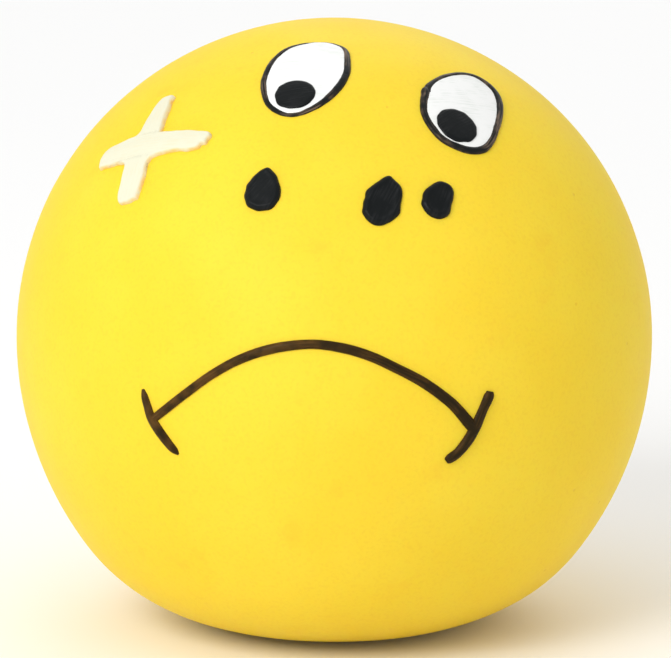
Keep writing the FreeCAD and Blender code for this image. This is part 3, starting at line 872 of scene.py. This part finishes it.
LEFT_PUPIL = oval((0.02, -0.55), (1.95, 2.0))
RIGHT_PUPIL = oval((-0.15, -0.2), (2.05, 2.1))
CHEEK_SPOT = [(-0.1, 2.45), (0.8, 2.0), (1.3, 1.1), (1.7, 0.2), (1.65, -1.1), (0.9, -2.0),
              (-0.4, -2.15), (-1.4, -1.5), (-1.75, -0.7), (-1.6, 0.5), (-1.05, 1.6)]
NOSE_SPOT_LEFT = [(0.75, 2.6), (1.35, 2.15), (1.95, 1.1), (1.7, -0.5), (1.2, -1.7), (-0.4, -2.55),
                  (-1.5, -2.2), (-2.1, -1.1), (-1.75, 0.35), (-1.4, 1.2), (-0.3, 2.0)]
NOSE_SPOT_RIGHT = [(0.85, 1.9), (1.65, 1.3), (1.7, 0.4), (1.15, -0.7), (0.55, -1.75), (-0.5, -1.95),
                   (-1.3, -1.5), (-1.8, -0.5), (-1.55, 0.5), (-0.95, 1.25), (-0.1, 1.75)]
CROSS = [(-1.7, 6.3), (-1.7, 6.3), (-2.6, 5.9), (-2.9, 5.1), (-2.5, 3.0), (-2.1, 1.0), (-3.8, -0.1),
         (-5.15, -1.0), (-5.5, -2.2), (-5.0, -3.3), (-5.0, -3.3), (-3.6, -2.85), (-1.9, -2.3),
         (-1.9, -2.3), (-1.1, -2.6), (-0.3, -4.1), (0.45, -5.9), (1.35, -6.25), (2.9, -5.35),
         (2.9, -5.35), (2.5, -3.4), (1.75, -1.5), (2.1, -0.75), (3.9, 0.3), (5.6, 0.9), (6.4, 1.5),
         (6.45, 1.95), (6.85, 2.2), (6.75, 2.7), (6.75, 3.2), (6.1, 3.4), (3.3, 2.65), (0.8, 1.85),
         (0.8, 1.85), (0.1, 3.0), (-0.85, 4.8)]
MOUTH = [(-15.6, -4.2, 0.75), (-14.9, -3.65, 0.85), (-12.4, -1.5, 0.85), (-9.5, 0.77, 0.85),
         (-6.6, 2.45, 0.9), (-3.5, 3.52, 0.95), (-0.2, 3.97, 0.9), (2.7, 3.68, 0.95), (5.4, 2.9, 0.95),
         (8, 1.65, 0.95), (10.6, 0.15, 1), (13.1, -1.9, 1.05), (14.7, -3.9, 1.15), (15.3, -4.7, 1.1)]
LEFT_CORNER = [(-2.35, 2.55, 0.3), (-2.15, 1.9, 0.75), (-1.85, 1.0, 0.9), (-1.4, -0.2, 1.0),
               (-0.6, -1.35, 1.05), (0.45, -2.6, 0.95), (1.0, -3.15, 0.75), (1.35, -3.5, 0.25)]
RIGHT_CORNER = [(2.85, 2.8, 0.7), (2.7, 2.3, 1.1), (2.1, 1.1, 1.0), (1.4, -0.4, 1.15),
                (0.65, -1.75, 1.15), (-0.3, -2.9, 1.05), (-1.15, -3.5, 1.0), (-1.5, -3.75, 0.6)]


def paint_materials(look):
    """The enamels, made once."""
    finishes = (
        dict(name="brushed_black", colour=look.black, thin_and_painted_light_colour=look.grey_black,
             roughness=0.34, gloss=0.1, edge_share=0.5, streak_share=0.7, streak_depth=0.03 * MM),
        # The eye lines' thin tone shows in many streaks: thin paint, and painted highlight along the lines.
        dict(name="brushed_rim", colour=look.black, thin_and_painted_light_colour=look.thin_rim_and_highlight,
             roughness=0.36, gloss=0.12, edge_share=0.3, streak_share=0.85, streak_depth=0.05 * MM),
        dict(name="brushed_line", colour=look.brown_black, thin_and_painted_light_colour=look.brown, wear=0.5,
             roughness=0.38, gloss=0.06, edge_share=0.4, streak_share=0.3, streak_depth=0.05 * MM),
        dict(name="brushed_white", colour=look.white, thin_and_painted_light_colour=look.grey,
             roughness=0.5, gloss=0.12, edge_share=0.35, streak_share=0.7, streak_depth=0.035 * MM),
        # The cream's edge share of 1.6 spreads its thin colour over the cross's walls as painted shade,
        # besides its thin edge.
        dict(name="brushed_cream", colour=look.cream, thin_and_painted_light_colour=look.thin_cream_and_edge_shade,
             roughness=0.6, gloss=0.08, edge_share=1.6, streak_share=0.08, streak_depth=0.05 * MM))
    return {finish["name"]: bpy.data.materials.get(finish["name"]) or enamel_material(**finish)
            for finish in finishes}


class STRESSBALL_OT_eyes(bpy.types.Operator):
    """Paint the eyes: a white, a line round it, and a pupil low on it"""

    bl_idname = "stressball.eyes"
    bl_label = "Eyes"

    def execute(self, context):
        look = context.scene.stressball_paint
        enamel = paint_materials(look)
        swell = 0.08 * MM
        swell_width = 3 * MM
        white_edge = 0.3 * MM
        pupil_edge = 0.4 * MM
        pupil_seat = look.white_height * MM + swell + 0.02 * MM

        def white_surface(distance, x, y):
            """A flat white with a quick edge, swelling a little to its middle."""
            flat_top = look.white_height * MM * rounded_edge(distance, white_edge)
            return flat_top + swell * rounded_edge(distance, swell_width)

        def pupil_surface(distance, x, y):
            """A flat pupil that stands on the white."""
            return pupil_seat + look.pupil_height * MM * rounded_edge(distance, pupil_edge)

        for side, line, closed, pupil, angle in (("left", LEFT_EYE, True, LEFT_PUPIL, 5),
                                                 ("right", RIGHT_EYE, False, RIGHT_PUPIL, -15)):
            white_node = f"{side}_eye_white"
            line_node = f"{side}_eye_outline"
            pupil_node = f"{side}_pupil"
            need_frame(white_node, line_node, pupil_node)
            outline = [point[:2] for point in (line if closed else line[:-LINE_OVERLAP])]
            white = paint_patch(f"{side}_eyeball", line_node, outline, white_surface,
                                enamel["brushed_white"], look, steps=10, brush_angle=angle)
            place(white, white_node, "white_enamel")
            rim = brush_line(f"{side}_eye_line", line_node, line, closed, enamel["brushed_rim"], look,
                             seed=float(len(line)), wobble=0.1)
            place(rim, line_node, "black_enamel")
            dot = paint_patch(f"{side}_eye_pupil", pupil_node, pupil, pupil_surface,
                              enamel["brushed_black"], look, brush_angle=20)
            place(dot, pupil_node, "black_enamel")
        return {"FINISHED"}


class STRESSBALL_OT_spots(bpy.types.Operator):
    """Paint the three black spots, each with a raised rim"""

    bl_idname = "stressball.spots"
    bl_label = "Spots"

    def execute(self, context):
        look = context.scene.stressball_paint
        black = paint_materials(look)["brushed_black"]
        edge = 0.4 * MM
        rim_inset = 0.45 * MM
        rim_width = 0.22 * MM
        rim_height = 0.08 * MM

        def surface(distance, x, y):
            """A flat spot with a low rim inside its edge."""
            rim = np.exp(-((distance - rim_inset) / rim_width) ** 2)
            return look.spot_height * MM * rounded_edge(distance, edge) + rim_height * rim

        for node, outline in (("cheek_spot", CHEEK_SPOT), ("nose_spot_left", NOSE_SPOT_LEFT),
                              ("nose_spot_right", NOSE_SPOT_RIGHT)):
            need_frame(node)
            spot = paint_patch(node + "_dab", node, outline, surface, black, look, brush_angle=60)
            place(spot, node, "black_enamel")
        return {"FINISHED"}


class STRESSBALL_OT_mouth(bpy.types.Operator):
    """Paint the turned-down mouth and the short strokes across its ends"""

    bl_idname = "stressball.mouth"
    bl_label = "Mouth"

    def execute(self, context):
        look = context.scene.stressball_paint
        enamel = paint_materials(look)["brushed_line"]
        for node, line, seed in (("mouth_line", MOUTH, 4.0), ("mouth_corner_left", LEFT_CORNER, 5.0),
                                 ("mouth_corner_right", RIGHT_CORNER, 6.0)):
            need_frame(node)
            stroke = brush_line(node + "_stroke", node, line, False, enamel, look, seed=seed)
            place(stroke, node, "black_enamel")
        return {"FINISHED"}


class STRESSBALL_OT_cross(bpy.types.Operator):
    """Paint the thick cream cross, ridged along both of its strips"""

    bl_idname = "stressball.cross"
    bl_label = "Cross"

    def execute(self, context):
        need_frame("cross_plaster")
        look = context.scene.stressball_paint
        cream = paint_materials(look)["brushed_cream"]
        level_turn = math.radians(21)
        steep_turn = level_turn + math.radians(93)
        strip_reach = 1.5 * MM
        edge = 0.25 * MM
        ridge_pitch = 0.42 * MM
        ridge_height = 0.035 * MM
        ridge_start = 0.6 * MM

        def strip_ways(x, y):
            """Places along and across the level strip, and how far a point belongs to it, from 0 to 1."""
            along = x * math.cos(level_turn) + y * math.sin(level_turn)
            across = y * math.cos(level_turn) - x * math.sin(level_turn)
            return along, across, np.exp(-(across / strip_reach) ** 4)

        def brush_angle(x, y):
            """The brush's way, along whichever strip a point is on."""
            return np.where(strip_ways(x, y)[2] > 0.5, level_turn, steep_turn)

        def surface(distance, x, y):
            """A thick flat coat with fine ridges along each strip."""
            along, across, level = strip_ways(x, y)
            ridges = level * np.cos(across / ridge_pitch) + (1 - level) * np.cos(along / ridge_pitch)
            return (look.cross_height * MM * rounded_edge(distance, edge)
                    + ridge_height * ridges * rounded_edge(distance, ridge_start))

        cross = paint_patch("brow_cross", "cross_plaster", CROSS, surface, cream, look, steps=8, rings=36,
                            brush_angle=brush_angle)
        place(cross, "cross_plaster", "cream_enamel")
        return {"FINISHED"}


# ---- the stage ----

def soft_light(name, location, power, size):
    """A large area light that faces the ball."""
    lamp = bpy.data.lights.new(name, "AREA")
    lamp.energy = power
    lamp.size = size
    light = bpy.data.objects.new(name, lamp)
    light.location = location
    light.rotation_euler = (MIDDLE - Vector(location)).to_track_quat("-Z", "Y").to_euler()
    bpy.context.scene.collection.objects.link(light)
    return light


class STRESSBALL_OT_stage(bpy.types.Operator):
    """Lay the pale floor, hang the soft lights and set the camera"""

    bl_idname = "stressball.stage"
    bl_label = "Stage"

    def execute(self, context):
        look = context.scene.stressball_stage
        self.lay_floor(look)
        world = bpy.data.worlds.new("even_light")
        world.use_nodes = True
        sky = world.node_tree.nodes["Background"]
        sky.inputs["Color"].default_value = (1, 1, 1, 1)
        sky.inputs["Strength"].default_value = look.sky
        context.scene.world = world
        soft_light("key_light", location=(-0.35, -0.50, 0.42), power=look.key, size=0.35)
        soft_light("side_light", location=(-0.65, -0.25, 0.12), power=look.side, size=0.5)
        soft_light("top_light", location=(-0.10, -0.15, 0.75), power=look.top, size=0.5)
        soft_light("back_light", location=(0.15, 0.75, 0.55), power=look.back, size=0.6)
        context.scene.view_settings.view_transform = "Standard"
        self.set_camera(context, look)
        return {"FINISHED"}

    def lay_floor(self, look):
        """Lay a matt floor just under the ball, wide enough to have no edge in view."""
        reach = 3.0
        drop = 0.05 * MM
        faded = [0.985 * part for part in look.floor_colour]
        material, tree, shader = new_material("pale_floor")
        tone = between(tree, object_noise(tree, 0.3), look.floor_colour, faded)
        tree.links.new(tone, shader.inputs["Base Color"])
        shader.inputs["Roughness"].default_value = 0.9
        corners = ((-reach, -reach), (reach, -reach), (reach, reach), (-reach, reach))
        mesh = bpy.data.meshes.new("floor")
        mesh.from_pydata([(x, y, -drop) for x, y in corners], [], [(0, 1, 2, 3)])
        mesh.materials.append(material)
        show("floor", mesh)

    def set_camera(self, context, look):
        """Set a long lens in front of the face, a little above it."""
        lens = bpy.data.cameras.new("camera")
        lens.sensor_width = 36
        lens.lens = 348.7
        lens.shift_x = 0.0018
        lens.shift_y = 0.0091
        camera = bpy.data.objects.new("camera", lens)
        back = Vector((0, -math.cos(look.elevation), math.sin(look.elevation)))
        camera.location = MIDDLE + back * look.distance
        camera.rotation_euler = back.to_track_quat("Z", "Y").to_euler()
        context.scene.collection.objects.link(camera)
        context.scene.camera = camera


# ---- the add-on ----

class STRESSBALL_PT_panel(bpy.types.Panel):
    """Lists the pieces in the order they are made"""

    bl_idname = "STRESSBALL_PT_panel"
    bl_label = "Stress Ball"
    bl_space_type = "VIEW_3D"
    bl_region_type = "UI"
    bl_category = "Stress Ball"

    def draw(self, context):
        """Show a button for each piece, and the settings of each group."""
        for operator in OPERATORS:
            self.layout.operator(operator.bl_idname)
        for name, group in SETTINGS.items():
            box = self.layout.box()
            for item in group.__annotations__:
                box.prop(getattr(context.scene, name), item)


OPERATORS = (STRESSBALL_OT_stage, STRESSBALL_OT_skin, STRESSBALL_OT_plug, STRESSBALL_OT_wads,
             STRESSBALL_OT_eyes, STRESSBALL_OT_spots, STRESSBALL_OT_mouth, STRESSBALL_OT_cross)
SETTINGS = {"stressball_skin": SkinSettings, "stressball_paint": PaintSettings,
            "stressball_fibre": FibreSettings, "stressball_stage": StageSettings}


def register():
    """Register the settings, the operators and the panel."""
    for group in SETTINGS.values():
        bpy.utils.register_class(group)
    for name, group in SETTINGS.items():
        setattr(bpy.types.Scene, name, PointerProperty(type=group))
    for operator in OPERATORS:
        bpy.utils.register_class(operator)
    bpy.utils.register_class(STRESSBALL_PT_panel)


def unregister():
    """Take away what register added."""
    bpy.utils.unregister_class(STRESSBALL_PT_panel)
    for operator in reversed(OPERATORS):
        bpy.utils.unregister_class(operator)
    for name in SETTINGS:
        delattr(bpy.types.Scene, name)
    for group in reversed(SETTINGS.values()):
        bpy.utils.unregister_class(group)


def main():
    register()
    for operator in OPERATORS:
        namespace, name = operator.bl_idname.split(".")
        getattr(getattr(bpy.ops, namespace), name)()


if __name__ == "__main__":
    main()
